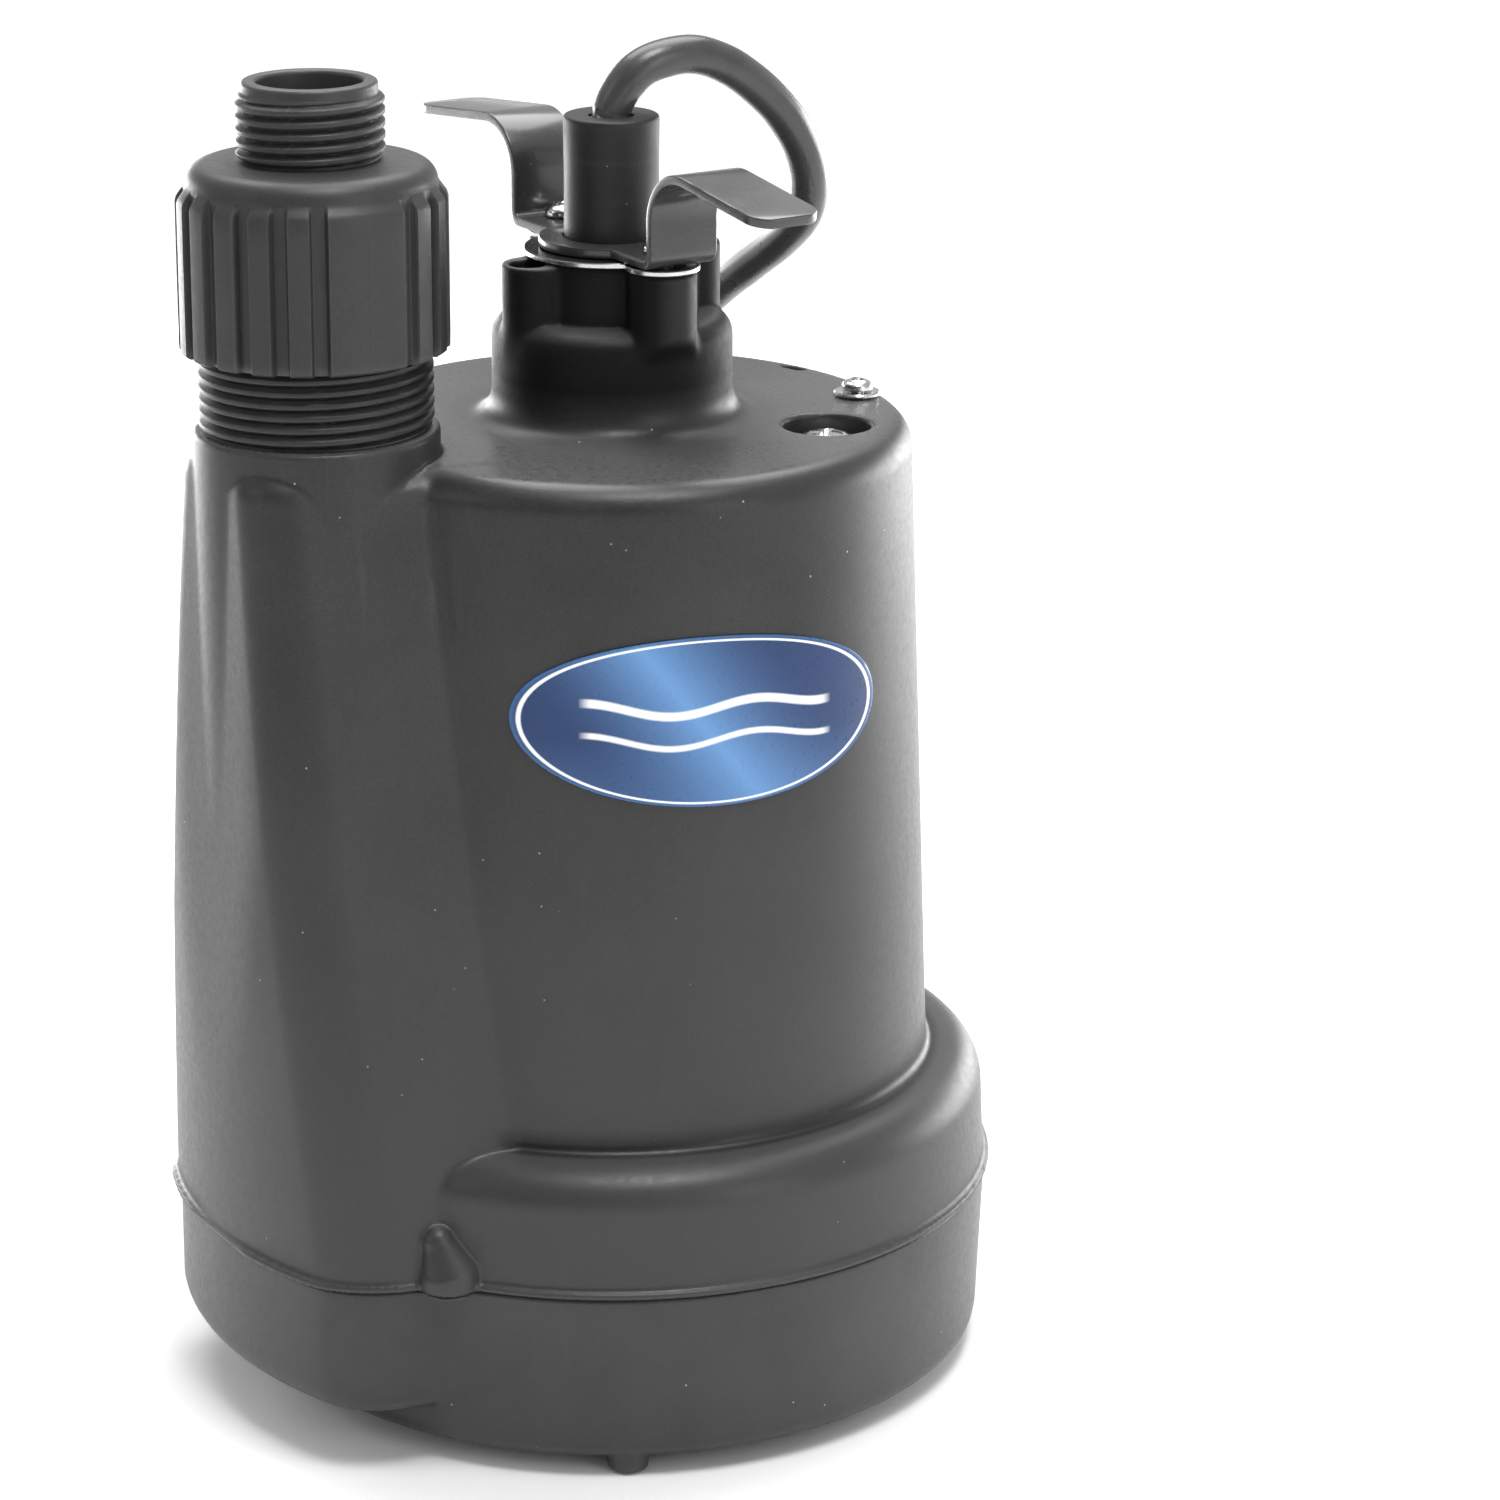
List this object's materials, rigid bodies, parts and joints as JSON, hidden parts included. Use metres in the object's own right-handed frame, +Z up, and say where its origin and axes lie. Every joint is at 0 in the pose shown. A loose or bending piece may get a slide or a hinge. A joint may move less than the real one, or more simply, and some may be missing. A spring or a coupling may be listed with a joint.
{
  "type": "submersible sump pump",
  "caption": "Upright submersible sump pump: tapered plastic motor housing on a round pump base, vertical threaded discharge with hose adapter, wing handle and cord.",
  "frame": {"origin": "on the pump axis, at the floor that the strainer hub and peg feet stand on", "axes": "+Z up along the pump axis and the discharge, -X towards the discharge pipe, handle wings along Y"},
  "size_m": [0.1851, 0.2395, 0.2545],
  "materials": {
    "charcoal_plastic": "moulded thermoplastic, fine grain, satin",
    "black_paint": "glossy black paint on bent steel strip",
    "black_case": "moulded case",
    "rubber": "moulded rubber, dull sheen",
    "zinc_screw": "bright plated",
    "bright_steel": "bare bright steel",
    "lamination_steel": "stacked laminations",
    "winding_copper": "varnished copper winding",
    "seal_ceramic": "lapped ceramic",
    "impeller_plastic": "glass-filled moulding",
    "badge_blue": "printed label, glossy, blank"
  },
  "bodies": {
    "root": {"motor_housing": "charcoal_plastic", "base_volute": "charcoal_plastic", "volute_oring": "rubber", "end_plate": "charcoal_plastic", "seal_seat": "seal_ceramic", "bearing_lower": "bright_steel", "bearing_upper": "bright_steel", "bearing_bracket": "lamination_steel", "stator_core": "lamination_steel", "winding_lower": "winding_copper", "winding_upper": "winding_copper", "capacitor": "black_case", "thermal_protector": "black_case", "cord_grommet": "rubber", "power_cord": "rubber", "power_plug": "rubber", "blade_a": "bright_steel", "blade_b": "bright_steel", "ground_pin": "bright_steel", "clamp_plate": "bright_steel", "handle_bracket": "black_paint", "handle_screw_a": "zinc_screw", "handle_screw_b": "zinc_screw", "fill_screw": "zinc_screw", "ground_screw": "zinc_screw", "ground_washer": "zinc_screw", "base_screw_a": "zinc_screw", "base_screw_b": "zinc_screw", "base_screw_c": "zinc_screw", "base_screw_d": "zinc_screw", "tie_screw_a": "bright_steel", "tie_screw_b": "bright_steel", "tie_screw_c": "bright_steel", "tie_screw_d": "bright_steel", "badge": "badge_blue"},
    "rotor": {"shaft": "bright_steel", "rotor_core": "lamination_steel", "impeller": "impeller_plastic", "seal_rotor": "seal_ceramic", "seal_spring": "bright_steel", "impeller_nut": "zinc_screw"},
    "washer": {"adapter_washer": "rubber"},
    "adapter": {"hose_adapter": "charcoal_plastic"},
    "strainer": {"strainer": "charcoal_plastic"}
  },
  "joints": [
    {"name": "rotor_spin", "type": "hinge", "parent": "root", "child": "rotor", "pos_m": [0, 0, 0.1], "axis": [0, 0, 1], "continuous": true},
    {"name": "adapter_lift", "type": "slide", "parent": "root", "child": "washer", "axis": [0, 0, 1], "range_m": [0, 0.01105]},
    {"name": "adapter_spin", "type": "hinge", "parent": "washer", "child": "adapter", "pos_m": [-0.0612, 0, 0.22], "axis": [0, 0, 1], "range_deg": [0, 1800]},
    {"name": "strainer_drop", "type": "slide", "parent": "root", "child": "strainer", "axis": [0, 0, -1], "range_m": [0, 0.03]}
  ],
  "couplings": [
    {"joint": "adapter_lift", "follows": "adapter_spin", "m_per_rad": 0.0003516}
  ]
}
